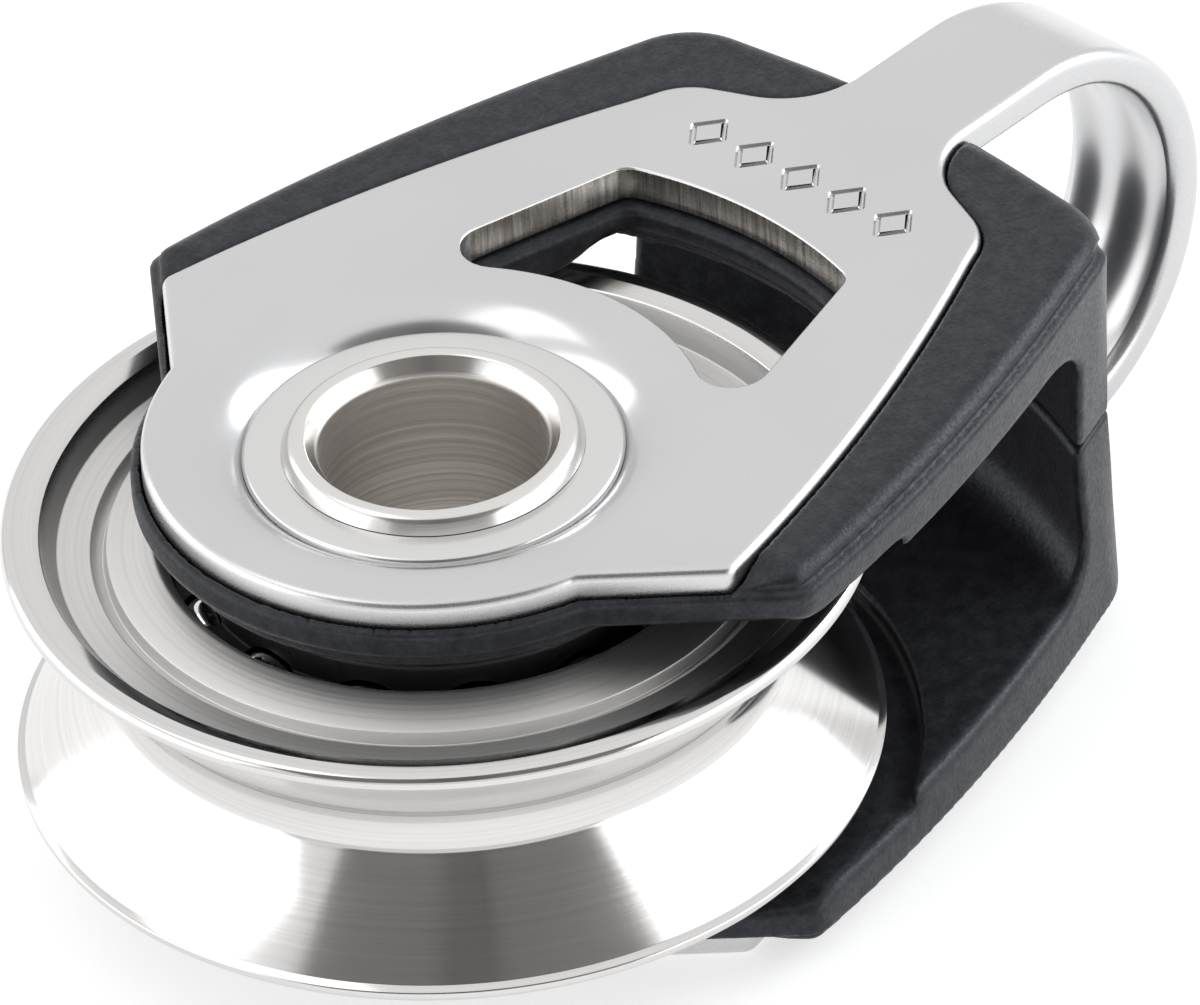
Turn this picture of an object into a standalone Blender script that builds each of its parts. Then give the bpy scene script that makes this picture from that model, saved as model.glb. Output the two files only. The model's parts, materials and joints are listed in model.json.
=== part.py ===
"""Single sheave block: a bent stainless strap, two moulded cheeks, a hollow axle, and a sheave on ball rows.

Every shape is drawn about the axle's centre, with the axle along Z and the eye towards +X, and hangs on one
parent empty. That empty lifts the block so that the lower strap plate lies on Z = 0 and the bounding box is
centred on X = 0 and Y = 0.
"""

import math

import bmesh
import bpy
from mathutils import Matrix, Vector

MM = 0.001

# Strap: one strip of sheet, bent round the eye, with a plate on each side.
PLATE_TOP = 8.27
PLATE_THICKNESS = 1.35
PLATE_UNDERSIDE = PLATE_TOP - PLATE_THICKNESS
SHOULDER = (0.52, 13.3)
SIDE_SLOPE = 0.1753
SIDE_CURVE = 0.00713
HUMP = (20.4, 7.1)
HUMP_RADIUS = 1.8
HUMP_RUN = 1.6
NECK_CORNER_X = 22.25
NECK_HALF_WIDTH = 2.63
NECK_RADIUS = 3.3
TAIL_RADIUS = 9.95
TAIL_ANGLE = 107.5
EYE_CENTRE_X = 28.3
SHOULDER_RADIUS = 0.6
SHOULDER_RUN = 1.2

# Window: an annular opening between the hub and the eye.
WINDOW_INNER = 9.4
WINDOW_OUTER = 16.2
WINDOW_HALF_WIDTH = 6.75
WINDOW_TAPER = 0.26
WINDOW_INNER_ROUND = 1.27
WINDOW_OUTER_ROUND = 0.8
CHEEK_WINDOW_INSET = 0.5

# Pressed dish round the axle.
DISH_OUTER = 8.7
DISH_INNER = 7.0
DISH_FLOOR = 7.24
DISH_EDGE_RUN = 0.5
DISH_EDGE_DROP = 0.15
DISH_WALL_SHIFT = 0.3
AXLE_HOLE = 5.0

# Moulded cheeks: full width at the shoulder line, and narrower towards the middle plane.
CHEEK_TOP = 8.0
CHEEK_TOP_BEVEL = 0.4
CHEEK_SHOULDER_LINE = 7.3
CHEEK_TAIL_TOP = 7.45
CHEEK_TAIL_END_X = 1.5
CHEEK_WAIST_INSET = 0.6
CHEEK_SIDE_START = (3.3, 15.2)
CHEEK_SIDE_SLOPE = 0.116
CHEEK_SIDE_CURVE = 0.00654
CHEEK_SIDE_END_X = 20.85
CHEEK_FACE = 5.2
SEAM_GAP = 0.1
FIT_GAP = 0.12
RECESS_RADIUS = 16.2
RECESS_FLOOR = 6.15
BOSS_RADIUS = 9.75
BOSS_FACE = 5.5
CHEEK_HUB_HOLE = 9.0
CHEEK_TAIL_RADIUS = 10.35
HEAD_X = 25.05
HEAD_CURVE = 0.0123
HEAD_EDGE_Y = 6.0
HEAD_CORNER = (24.1, 10.07)
HEAD_CORNER_RADIUS = 3.4
HEAD_WAIST_CORNER_RADIUS = 1.2
HEAD_INNER_RADIUS = 23.3
HEAD_FILLET = 1.8
CHEEK_SHOULDER = (1.9, 15.35)
CHEEK_SHOULDER_RADIUS = 1.0

# Sheave.
SHEAVE_RADIUS = 15.0
SHEAVE_FACE = 4.8
RIM_ROUNDING = 0.28
GROOVE_RADIUS = 11.7
GROOVE_CONE_START = (11.95, 0.95)
GROOVE_CONE_END = (14.7, 4.2)
RIM_UNDERSIDE = 4.38
RIM_FACE_INNER = 13.9
RIM_INNER = 13.65
RIM_INNER_DROP = 0.12
RECESS_OUTER = 13.1
RECESS_INNER = 11.75
FACE_RECESS = 3.83
HUB_RING_OUTER = 11.25
HUB_RING_FACE = 4.35
BORE_RADIUS = 9.4
BORE_CHAMFER = 0.45

# Bearing: balls between grooves in the inner race and in the sheave's bore.
BALL_RADIUS = 1.35
BALL_COUNT = 14
BALL_PITCH_RADIUS = 8.375
BALL_ROW = 2.2
TRACK_CLEARANCE = 0.06
RACE_RADIUS = 7.35
RACE_END = 5.75
RACE_SHOULDER = 4.7
RACE_END_RADIUS = 6.4
CAGE_INNER = 7.45
CAGE_OUTER = 9.3
CAGE_FACE = 4.5
CAGE_RING_OUTER = 8.35
CAGE_STEP_FACE = 3.3
CAGE_TIP = 1.25
POCKET_RADIUS = 1.5

# Hollow axle and its washers.
AXLE_BORE = 3.95
AXLE_RADIUS = 4.9
LIP_RADIUS = 5.2
LIP_TOP = 8.15
LIP_UNDERSIDE = 7.66
LIP_ROUNDING = 0.22
FLARE_DEPTH = 0.6
FLARE_RADIUS = 4.5
WASHER_OUTER = 6.55
WASHER_THICKNESS = 0.3
WASHER_CHAMFER = 0.08
WASHER_GAP = 0.03

ROUND_STEPS = 40
SHEAVE_STEPS = 52
CAGE_STEPS = 28
SIDE_POINTS = 7
TAIL_STEPS = 12
EYE_STEPS = 12
FILLET_STEPS = 5
SMALL_FILLET_STEPS = 3
CLEAR = 1.0
SMOOTH_ANGLE = math.radians(35)

BOX_CENTRE_X = (EYE_CENTRE_X + PLATE_TOP - SHEAVE_RADIUS) / 2


def clear_scene():
    for item in list(bpy.data.objects):
        bpy.data.objects.remove(item, do_unlink=True)


def new_collection(name):
    made = bpy.data.collections.new(name)
    bpy.context.scene.collection.children.link(made)
    return made


clear_scene()
BLOCK = new_collection("single_sheave_block")
CUTTERS = new_collection("cutters")
CUTTERS.hide_render = True

CENTRE = bpy.data.objects.new("axle_centre", None)
CENTRE.location = (-BOX_CENTRE_X * MM, 0, PLATE_TOP * MM)
BLOCK.objects.link(CENTRE)


# ---------------------------------------------------------------- outlines (millimetres)


def polar(radius, degrees):
    angle = math.radians(degrees)
    return (radius * math.cos(angle), radius * math.sin(angle))


def arc(radius, start, end, steps):
    return [polar(radius, start + (end - start) * i / steps) for i in range(steps + 1)]


def fillet(before, corner, after, radius, steps=FILLET_STEPS):
    """Points of the round that replaces a corner."""
    a = (Vector(before) - Vector(corner)).normalized()
    b = (Vector(after) - Vector(corner)).normalized()
    half = a.angle(b) / 2
    reach = radius / math.tan(half)
    centre = Vector(corner) + (a + b).normalized() * radius / math.sin(half)
    first = Vector(corner) + a * reach - centre
    last = Vector(corner) + b * reach - centre
    turn = math.atan2(first.x * last.y - first.y * last.x, first.dot(last))
    return [tuple(centre + Matrix.Rotation(turn * i / steps, 2) @ first) for i in range(steps + 1)]


def both_sides(half):
    """A closed outline from its +Y half, which runs from the eye end round to the tail."""
    return half + [(x, -y) for x, y in reversed(half) if abs(y) > 1e-6]


def plate_side(x):
    """Half width of the strap plate at x, between the shoulder and the hump."""
    run = x - SHOULDER[0]
    return SHOULDER[1] - SIDE_SLOPE * run - SIDE_CURVE * run * run


def plate_outline():
    neck = (EYE_CENTRE_X, NECK_HALF_WIDTH)
    neck_corner = (NECK_CORNER_X, NECK_HALF_WIDTH)
    last_side = HUMP[0] - HUMP_RUN
    half = [neck]
    half += fillet(neck, neck_corner, HUMP, NECK_RADIUS)
    half += fillet(neck_corner, HUMP, (last_side, plate_side(last_side)), HUMP_RADIUS)
    for i in range(SIDE_POINTS):
        x = last_side + (SHOULDER[0] + SHOULDER_RUN - last_side) * i / (SIDE_POINTS - 1)
        half.append((x, plate_side(x)))
    kink = polar(TAIL_RADIUS, TAIL_ANGLE)
    half += fillet(half[-1], SHOULDER, kink, SHOULDER_RADIUS, SMALL_FILLET_STEPS)
    half += arc(TAIL_RADIUS, TAIL_ANGLE, 180, TAIL_STEPS)
    return both_sides(half)


def cheek_side(x):
    """Half width of the moulding at x."""
    run = x - CHEEK_SIDE_START[0]
    return CHEEK_SIDE_START[1] - CHEEK_SIDE_SLOPE * run - CHEEK_SIDE_CURVE * run * run


def head_edge(y):
    """The moulding's end at y, which bulges a little towards the eye."""
    return (HEAD_X - HEAD_CURVE * y * y, y)


def cheek_outline(inset, corner_radius):
    """The moulding's outline with its sides moved in by inset."""
    side_end = (CHEEK_SIDE_END_X, cheek_side(CHEEK_SIDE_END_X) - inset)
    corner = (HEAD_CORNER[0], HEAD_CORNER[1] - inset)
    shoulder = (CHEEK_SHOULDER[0], CHEEK_SHOULDER[1] - inset)
    half = [head_edge(0), head_edge(HEAD_EDGE_Y / 2)]
    half += fillet(head_edge(HEAD_EDGE_Y), corner, side_end, corner_radius)
    first_side = CHEEK_SHOULDER[0] + SHOULDER_RUN
    for i in range(SIDE_POINTS):
        x = CHEEK_SIDE_END_X + (first_side - CHEEK_SIDE_END_X) * i / (SIDE_POINTS - 1)
        half.append((x, cheek_side(x) - inset))
    kink = polar(CHEEK_TAIL_RADIUS, TAIL_ANGLE)
    half += fillet(half[-1], shoulder, kink, CHEEK_SHOULDER_RADIUS, SMALL_FILLET_STEPS)
    half += arc(CHEEK_TAIL_RADIUS, TAIL_ANGLE, 180, TAIL_STEPS)
    return both_sides(half)


def window_outline(inset):
    """The window moved inwards by inset: two arcs about the axle, two sloping sides and round corners."""
    side_length = math.hypot(1, WINDOW_TAPER)
    side_normal = math.degrees(math.atan2(1, WINDOW_TAPER))

    def room_beside(x, y):
        """Distance from a point to the sloping side."""
        side = WINDOW_HALF_WIDTH - WINDOW_TAPER * (x - WINDOW_INNER)
        return (side - y) / side_length - inset

    def round_angle(centre_radius, corner_radius):
        """Polar angle of the centre of a round that touches the side."""
        low, high = 0.0, 80.0
        for _ in range(40):
            middle = (low + high) / 2
            if room_beside(*polar(centre_radius, middle)) > corner_radius:
                low = middle
            else:
                high = middle
        return low

    def corner(centre_radius, centre_angle, radius, start, end):
        centre = polar(centre_radius, centre_angle)
        return [(centre[0] + x, centre[1] + y) for x, y in arc(radius, start, end, 5)]

    inner = WINDOW_INNER + inset
    outer = WINDOW_OUTER - inset
    outer_round = WINDOW_OUTER_ROUND
    inner_round = WINDOW_INNER_ROUND - inset
    outer_angle = round_angle(outer - outer_round, outer_round)
    inner_angle = round_angle(inner + inner_round, inner_round)
    half = arc(outer, 0, outer_angle, 3)[:-1]
    half += corner(outer - outer_round, outer_angle, outer_round, outer_angle, side_normal)
    half += corner(inner + inner_round, inner_angle, inner_round, side_normal, inner_angle + 180)
    half += arc(inner, inner_angle, 0, 4)[1:]
    return both_sides(half)


def offset(outline, distance):
    """A closed anticlockwise outline with each point moved out along its corner's normal."""
    moved = []
    for i, here in enumerate(outline):
        before = Vector(outline[i - 1])
        after = Vector(outline[(i + 1) % len(outline)])
        a = (Vector(here) - before).normalized()
        b = (after - Vector(here)).normalized()
        normal = (Vector((a.y, -a.x)) + Vector((b.y, -b.x))).normalized()
        stretch = 1 / max(0.4, normal.dot(Vector((a.y, -a.x))))
        moved.append(tuple(Vector(here) + normal * distance * stretch))
    return moved


# ---------------------------------------------------------------- solids


def material(name, colour, roughness, metallic):
    made = bpy.data.materials.new(name)
    made.use_nodes = True
    shader = made.node_tree.nodes["Principled BSDF"]
    shader.inputs["Base Color"].default_value = (*colour, 1)
    shader.inputs["Roughness"].default_value = roughness
    shader.inputs["Metallic"].default_value = metallic
    return made


def add(name, mesh, collection, finish=None):
    made = bpy.data.objects.new(name, mesh)
    collection.objects.link(made)
    made.parent = CENTRE
    if collection is CUTTERS:
        made.hide_render = True
        made.display_type = "WIRE"
    if finish:
        mesh.materials.clear()
        mesh.materials.append(finish)
        mesh.shade_smooth()
        mesh.set_sharp_from_angle(angle=SMOOTH_ANGLE)
    return made


def evaluated(item):
    """A new mesh of the object as its modifiers leave it; the object is removed."""
    bpy.context.view_layer.update()
    graph = bpy.context.evaluated_depsgraph_get()
    mesh = bpy.data.meshes.new_from_object(item.evaluated_get(graph))
    bpy.data.objects.remove(item, do_unlink=True)
    return mesh


def prism(name, outlines, bottom, top):
    """A mesh of one outline, less any others inside it, from height bottom to height top."""
    curve = bpy.data.curves.new(name, "CURVE")
    curve.dimensions = "2D"
    curve.fill_mode = "BOTH"
    curve.extrude = (top - bottom) / 2 * MM
    for outline in outlines:
        spline = curve.splines.new("POLY")
        spline.points.add(len(outline) - 1)
        spline.use_cyclic_u = True
        for point, (x, y) in zip(spline.points, outline):
            point.co = (x * MM, y * MM, 0, 1)
    item = bpy.data.objects.new(name, curve)
    bpy.context.scene.collection.objects.link(item)
    mesh = evaluated(item)
    shape = bmesh.new()
    shape.from_mesh(mesh)
    bmesh.ops.remove_doubles(shape, verts=shape.verts, dist=0.002 * MM)
    bmesh.ops.translate(shape, verts=shape.verts, vec=(0, 0, (top + bottom) / 2 * MM))
    bmesh.ops.recalc_face_normals(shape, faces=shape.faces)
    shape.to_mesh(mesh)
    shape.free()
    return mesh


def box(name, size):
    """A mesh of a box about its centre."""
    shape = bmesh.new()
    bmesh.ops.create_cube(shape, size=MM)
    bmesh.ops.scale(shape, verts=shape.verts, vec=size)
    mesh = bpy.data.meshes.new(name)
    shape.to_mesh(mesh)
    shape.free()
    return mesh


def loft(name, rows):
    """A mesh through (outline, height) rows, whose outlines have equally many points, with flat ends."""
    shape = bmesh.new()
    rings = [
        [shape.verts.new((x * MM, y * MM, height * MM)) for x, y in outline] for outline, height in rows
    ]
    for low, high in zip(rings, rings[1:]):
        for i, here in enumerate(low):
            j = (i + 1) % len(low)
            shape.faces.new((here, low[j], high[j], high[i]))
    shape.faces.new(rings[0])
    shape.faces.new(rings[-1])
    bmesh.ops.recalc_face_normals(shape, faces=shape.faces)
    mesh = bpy.data.meshes.new(name)
    shape.to_mesh(mesh)
    shape.free()
    return mesh


def turned(name, profile, steps=ROUND_STEPS):
    """A mesh turned about Z from a closed profile of (radius, height), run down its outer side."""
    mesh = bpy.data.meshes.new(name)
    points = [(radius * MM, 0, height * MM) for radius, height in profile]
    closed = profile[0][0] > 1e-6 or profile[-1][0] > 1e-6
    edges = [(i, i + 1) for i in range(len(points) - 1)]
    if closed:
        edges.append((len(points) - 1, 0))
    mesh.from_pydata(points, edges, [])
    item = bpy.data.objects.new(name, mesh)
    bpy.context.scene.collection.objects.link(item)
    screw = item.modifiers.new("turn", "SCREW")
    screw.axis = "Z"
    screw.steps = steps
    screw.render_steps = steps
    screw.use_merge_vertices = True
    screw.merge_threshold = 0.00001
    made = evaluated(item)
    shape = bmesh.new()
    shape.from_mesh(made)
    bmesh.ops.recalc_face_normals(shape, faces=shape.faces)
    shape.to_mesh(made)
    shape.free()
    return made


def boolean(item, other, operation):
    step = item.modifiers.new(operation.lower(), "BOOLEAN")
    step.operation = operation
    step.solver = "EXACT"
    step.object = other


def round_profile(centre, radius, start, end, steps):
    """Points of an arc in a turned profile, in degrees from +radius towards +height."""
    return [
        (centre[0] + radius * math.cos(math.radians(a)), centre[1] + radius * math.sin(math.radians(a)))
        for a in [start + (end - start) * i / steps for i in range(steps + 1)]
    ]


# ---------------------------------------------------------------- strap


def make_strap():
    """The upper plate and half the eye, mirrored in the middle plane."""
    steel = material("strap_steel", (0.66, 0.67, 0.68), 0.3, 1.0)
    outlines = [plate_outline(), window_outline(0)]
    plate = add("strap_plate", prism("strap_plate", outlines, PLATE_UNDERSIDE, PLATE_TOP), CUTTERS)

    floor_underside = DISH_FLOOR - PLATE_THICKNESS
    overlap = PLATE_THICKNESS / 2
    boss_profile = [
        (0, PLATE_UNDERSIDE + overlap),
        (DISH_OUTER + DISH_WALL_SHIFT, PLATE_UNDERSIDE + overlap),
        (DISH_OUTER, PLATE_UNDERSIDE - DISH_EDGE_DROP),
        (DISH_INNER + DISH_WALL_SHIFT, floor_underside),
        (0, floor_underside),
    ]
    boss = add("dish_underside", turned("dish_underside", boss_profile), CUTTERS)
    dish_profile = [
        (0, PLATE_TOP + CLEAR),
        (DISH_OUTER + CLEAR, PLATE_TOP + CLEAR),
        (DISH_OUTER, PLATE_TOP),
        (DISH_OUTER - DISH_EDGE_RUN, PLATE_TOP - DISH_EDGE_DROP),
        (DISH_INNER, DISH_FLOOR),
        (AXLE_HOLE, DISH_FLOOR),
        (AXLE_HOLE, floor_underside - CLEAR),
        (0, floor_underside - CLEAR),
    ]
    dish = add("dish_cut", turned("dish_cut", dish_profile), CUTTERS)
    boolean(plate, boss, "UNION")
    boolean(plate, dish, "DIFFERENCE")
    mesh = evaluated(plate)

    shape = bmesh.new()
    shape.from_mesh(mesh)
    end = [f for f in shape.faces if all(abs(v.co.x - EYE_CENTRE_X * MM) < 1e-6 for v in f.verts)]
    turn = Matrix.Rotation(math.radians(90 / EYE_STEPS), 3, "Y")
    for _ in range(EYE_STEPS):
        grown = bmesh.ops.extrude_face_region(shape, geom=end)["geom"]
        bmesh.ops.delete(shape, geom=end, context="FACES_ONLY")
        end = [g for g in grown if isinstance(g, bmesh.types.BMFace)]
        moved = [g for g in grown if isinstance(g, bmesh.types.BMVert)]
        bmesh.ops.rotate(shape, verts=moved, cent=(EYE_CENTRE_X * MM, 0, 0), matrix=turn)
    bmesh.ops.delete(shape, geom=end, context="FACES_ONLY")
    bmesh.ops.recalc_face_normals(shape, faces=shape.faces)
    shape.to_mesh(mesh)
    shape.free()

    strap = add("strap", mesh, BLOCK, steel)
    mirror = strap.modifiers.new("lower half", "MIRROR")
    mirror.use_axis = (False, False, True)
    mirror.merge_threshold = 0.00001


# ---------------------------------------------------------------- cheeks


def make_cheeks():
    """The upper cheek, cut from a blank, and its mirror image."""
    plastic = material("cheek_black", (0.02, 0.02, 0.022), 0.5, 0.0)
    waist = cheek_outline(CHEEK_WAIST_INSET, HEAD_WAIST_CORNER_RADIUS)
    shoulder = cheek_outline(0, HEAD_CORNER_RADIUS)
    rows = [
        (waist, SEAM_GAP / 2),
        (shoulder, CHEEK_SHOULDER_LINE),
        (offset(shoulder, -CHEEK_TOP_BEVEL), CHEEK_TOP),
    ]
    blank = add("cheek_blank", loft("cheek_blank", rows), CUTTERS)

    throat_profile = [
        (0, BOSS_FACE),
        (BOSS_RADIUS, BOSS_FACE),
        (BOSS_RADIUS, RECESS_FLOOR),
        (RECESS_RADIUS, RECESS_FLOOR),
        (RECESS_RADIUS, CHEEK_FACE),
    ]
    fillet_centre = (HEAD_INNER_RADIUS - HEAD_FILLET, CHEEK_FACE - HEAD_FILLET)
    throat_profile += round_profile(fillet_centre, HEAD_FILLET, 90, 0, FILLET_STEPS)
    throat_profile += [(HEAD_INNER_RADIUS, -CLEAR), (0, -CLEAR)]
    throat = add("cheek_throat", turned("cheek_throat", throat_profile, SHEAVE_STEPS), CUTTERS)

    above = PLATE_TOP + CLEAR
    pocket_outline = offset(plate_outline(), FIT_GAP)
    pocket_mesh = prism("strap_pocket", [pocket_outline], PLATE_UNDERSIDE - FIT_GAP, above)
    pocket = add("strap_pocket", pocket_mesh, CUTTERS)
    hub_hole = arc(CHEEK_HUB_HOLE, 0, 360, ROUND_STEPS)[:-1]
    openings_mesh = prism("cheek_openings", [window_outline(CHEEK_WINDOW_INSET), hub_hole], -CLEAR, above)
    openings = add("cheek_openings", openings_mesh, CUTTERS)
    tail_length = CHEEK_TAIL_RADIUS + CLEAR + CHEEK_TAIL_END_X
    tail_mesh = box("tail_top", (tail_length, 2 * CHEEK_SHOULDER[1] + CLEAR, CLEAR))
    tail = add("tail_top", tail_mesh, CUTTERS)
    tail.location = (
        (CHEEK_TAIL_END_X - tail_length / 2) * MM,
        0,
        (CHEEK_TAIL_TOP + CLEAR / 2) * MM,
    )
    for cutter in (openings, tail, pocket, throat):
        boolean(blank, cutter, "DIFFERENCE")

    mesh = evaluated(blank)
    add("cheek_upper", mesh, BLOCK, plastic)
    lower = mesh.copy()
    lower.transform(Matrix.Scale(-1, 4, (0, 0, 1)))
    lower.flip_normals()
    add("cheek_lower", lower, BLOCK, plastic)


# ---------------------------------------------------------------- sheave


def track(sign, row):
    """A ball track's points from the outboard edge to the inboard edge, for the bore (1) or the race (-1)."""
    radius = BALL_RADIUS + TRACK_CLEARANCE
    land = BORE_RADIUS if sign > 0 else RACE_RADIUS
    reach = abs(land - BALL_PITCH_RADIUS)
    angle = math.degrees(math.acos(reach / radius))
    steps = 4
    points = []
    for i in range(steps + 1):
        a = math.radians(angle - 2 * angle * i / steps)
        points.append((BALL_PITCH_RADIUS + sign * radius * math.cos(a), row + radius * math.sin(a)))
    return points


def make_sheave():
    steel = material("sheave_steel", (0.72, 0.72, 0.73), 0.12, 1.0)
    waist_radius = (GROOVE_CONE_START[1] ** 2 + (GROOVE_CONE_START[0] - GROOVE_RADIUS) ** 2) / (
        2 * (GROOVE_CONE_START[0] - GROOVE_RADIUS)
    )
    waist_angle = math.degrees(math.asin(GROOVE_CONE_START[1] / waist_radius))
    waist = round_profile((GROOVE_RADIUS + waist_radius, 0), waist_radius, 180 - waist_angle, 180, 2)
    upper = [
        (BORE_RADIUS + BORE_CHAMFER, HUB_RING_FACE),
        (HUB_RING_OUTER, HUB_RING_FACE),
        (RECESS_INNER, FACE_RECESS),
        (RECESS_OUTER, FACE_RECESS),
        (RIM_INNER, SHEAVE_FACE - RIM_INNER_DROP),
        (RIM_FACE_INNER, SHEAVE_FACE),
    ]
    rim_centre = (SHEAVE_RADIUS - RIM_ROUNDING, SHEAVE_FACE - RIM_ROUNDING)
    upper += round_profile(rim_centre, RIM_ROUNDING, 90, 0, 3)
    upper += [(SHEAVE_RADIUS, RIM_UNDERSIDE), GROOVE_CONE_END]
    upper += waist
    outer = upper + [(r, -z) for r, z in reversed(upper[:-1])]
    bore_upper = [(BORE_RADIUS, HUB_RING_FACE - BORE_CHAMFER)] + track(1, BALL_ROW)
    bore = bore_upper + [(r, -z) for r, z in reversed(bore_upper)]
    add("sheave", turned("sheave", outer + list(reversed(bore)), SHEAVE_STEPS), BLOCK, steel)


# ---------------------------------------------------------------- bearing


def make_inner_race():
    steel = material("race_steel", (0.6, 0.6, 0.6), 0.25, 1.0)
    bore = AXLE_HOLE
    upper = [
        (bore, RACE_END),
        (RACE_END_RADIUS, RACE_END),
        (RACE_END_RADIUS, RACE_SHOULDER),
        (RACE_RADIUS, RACE_SHOULDER),
    ]
    upper += track(-1, BALL_ROW)
    profile = upper + [(r, -z) for r, z in reversed(upper)]
    add("inner_race", turned("inner_race", profile), BLOCK, steel)


def ball_places(side):
    """Centres of one row's balls. The lower row is set half a pitch round from the upper."""
    shift = 0.5 if side < 0 else 0
    pitch = 360 / BALL_COUNT
    return [(*polar(BALL_PITCH_RADIUS, (i + shift) * pitch), side * BALL_ROW) for i in range(BALL_COUNT)]


def make_ball_row(side, name):
    """A snap-in cage and its balls."""
    nylon = material(name + "_nylon", (0.03, 0.03, 0.03), 0.6, 0.0)
    ball_steel = material(name + "_ball_steel", (0.75, 0.75, 0.75), 0.08, 1.0)
    ring_profile = [
        (CAGE_INNER, CAGE_FACE),
        (CAGE_RING_OUTER, CAGE_FACE),
        (CAGE_RING_OUTER, CAGE_STEP_FACE),
        (CAGE_OUTER, CAGE_STEP_FACE),
        (CAGE_OUTER, CAGE_TIP),
        (CAGE_INNER, CAGE_TIP),
    ]
    if side < 0:
        ring_profile = [(r, -z) for r, z in reversed(ring_profile)]
    ring = add(name + "_cage_blank", turned(name + "_cage_blank", ring_profile, CAGE_STEPS), CUTTERS)

    pockets = bmesh.new()
    for place in ball_places(side):
        at = Matrix.Translation(Vector(place) * MM)
        bmesh.ops.create_uvsphere(pockets, u_segments=8, v_segments=6, radius=POCKET_RADIUS * MM, matrix=at)
    pocket_mesh = bpy.data.meshes.new(name + "_pockets")
    pockets.to_mesh(pocket_mesh)
    pockets.free()
    boolean(ring, add(name + "_pockets", pocket_mesh, CUTTERS), "DIFFERENCE")
    cage = add(name + "_cage", evaluated(ring), BLOCK, nylon)

    ball = bmesh.new()
    bmesh.ops.create_icosphere(ball, subdivisions=2, radius=BALL_RADIUS * MM)
    ball_mesh = bpy.data.meshes.new(name + "_ball")
    ball.to_mesh(ball_mesh)
    ball.free()
    ball_mesh.materials.append(ball_steel)
    ball_mesh.shade_smooth()
    for number, place in enumerate(ball_places(side), 1):
        made = bpy.data.objects.new(f"{name}_ball_{number:02d}", ball_mesh)
        BLOCK.objects.link(made)
        made.parent = cage
        made.location = Vector(place) * MM


# ---------------------------------------------------------------- axle


def make_axle():
    steel = material("axle_steel", (0.68, 0.68, 0.67), 0.18, 1.0)
    lip_centre = (LIP_RADIUS - LIP_ROUNDING, LIP_TOP - LIP_ROUNDING)
    upper = [(AXLE_BORE, LIP_TOP - FLARE_DEPTH), (FLARE_RADIUS, LIP_TOP)]
    upper += round_profile(lip_centre, LIP_ROUNDING, 90, 0, 3)
    upper += [(LIP_RADIUS, LIP_UNDERSIDE), (AXLE_RADIUS, LIP_UNDERSIDE)]
    profile = upper + [(r, -z) for r, z in reversed(upper)]
    add("axle_tube", turned("axle_tube", profile), BLOCK, steel)

    washer_steel = material("washer_steel", (0.64, 0.64, 0.64), 0.28, 1.0)
    bottom = DISH_FLOOR + WASHER_GAP
    top = bottom + WASHER_THICKNESS
    washer_profile = [
        (AXLE_HOLE, top),
        (WASHER_OUTER - WASHER_CHAMFER, top),
        (WASHER_OUTER, top - WASHER_CHAMFER),
        (WASHER_OUTER, bottom),
        (AXLE_HOLE, bottom),
    ]
    add("hub_washer_upper", turned("hub_washer_upper", washer_profile), BLOCK, washer_steel)
    lower = [(r, -z) for r, z in reversed(washer_profile)]
    add("hub_washer_lower", turned("hub_washer_lower", lower), BLOCK, washer_steel)


make_strap()
make_cheeks()
make_sheave()
make_inner_race()
make_ball_row(1, "upper")
make_ball_row(-1, "lower")
make_axle()
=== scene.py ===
"""Looks of the single sheave block: fine meshes and procedural finishes that stand for the plain CAD solids.

Shapes are drawn in millimetres about the axle's centre, with the axle along Z and the eye towards +X.
"""

import json
import math

import bmesh
import bpy
import numpy as np
from mathutils import Matrix, Vector


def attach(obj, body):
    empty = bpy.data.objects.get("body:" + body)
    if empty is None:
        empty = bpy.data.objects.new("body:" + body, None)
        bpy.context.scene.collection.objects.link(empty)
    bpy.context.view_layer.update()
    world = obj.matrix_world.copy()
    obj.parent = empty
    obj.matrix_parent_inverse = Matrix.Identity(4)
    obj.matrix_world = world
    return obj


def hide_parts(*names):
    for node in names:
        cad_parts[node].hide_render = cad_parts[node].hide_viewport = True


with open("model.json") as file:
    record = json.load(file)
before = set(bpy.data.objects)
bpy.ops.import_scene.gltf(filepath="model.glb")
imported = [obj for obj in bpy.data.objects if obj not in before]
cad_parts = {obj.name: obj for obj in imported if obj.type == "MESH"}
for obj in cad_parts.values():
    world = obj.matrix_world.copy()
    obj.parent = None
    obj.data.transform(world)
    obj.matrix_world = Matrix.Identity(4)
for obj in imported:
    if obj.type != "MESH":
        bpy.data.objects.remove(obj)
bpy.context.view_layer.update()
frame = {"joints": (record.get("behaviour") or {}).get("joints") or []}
MM = 0.001
AXLE = Vector(frame["joints"][0]["pos_m"])

# Strap: two plates joined by the bent eye. SHOULDER and HUMP are corners before they are rounded.
PLATE_TOP = 8.27
PLATE_THICKNESS = 1.35
PLATE_UNDERSIDE = PLATE_TOP - PLATE_THICKNESS
SHOULDER = (0.52, 13.3)
SHOULDER_RADIUS = 0.6
SHOULDER_RUN = 1.2
SIDE_SLOPE = 0.1753
SIDE_CURVE = 0.00713
HUMP = (20.4, 7.1)
HUMP_RADIUS = 2.5
HUMP_RUN = 1.6
NECK_CORNER_X = 22.25
NECK_HALF_WIDTH = 2.63
NECK_RADIUS = 3.3
TAIL_RADIUS = 9.95
TAIL_ANGLE = 107.5
PLATE_ROUND = 0.34

# Eye: shallow waves run along the inside of the bend.
EYE_CENTRE_X = 28.3
EYE_ROUND = 0.48
EYE_EASE = 3
EYE_WAVE = 0.05
EYE_WAVES = 1.3
EYE_STEPS = 40
NECK_STEPS = 24

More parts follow.
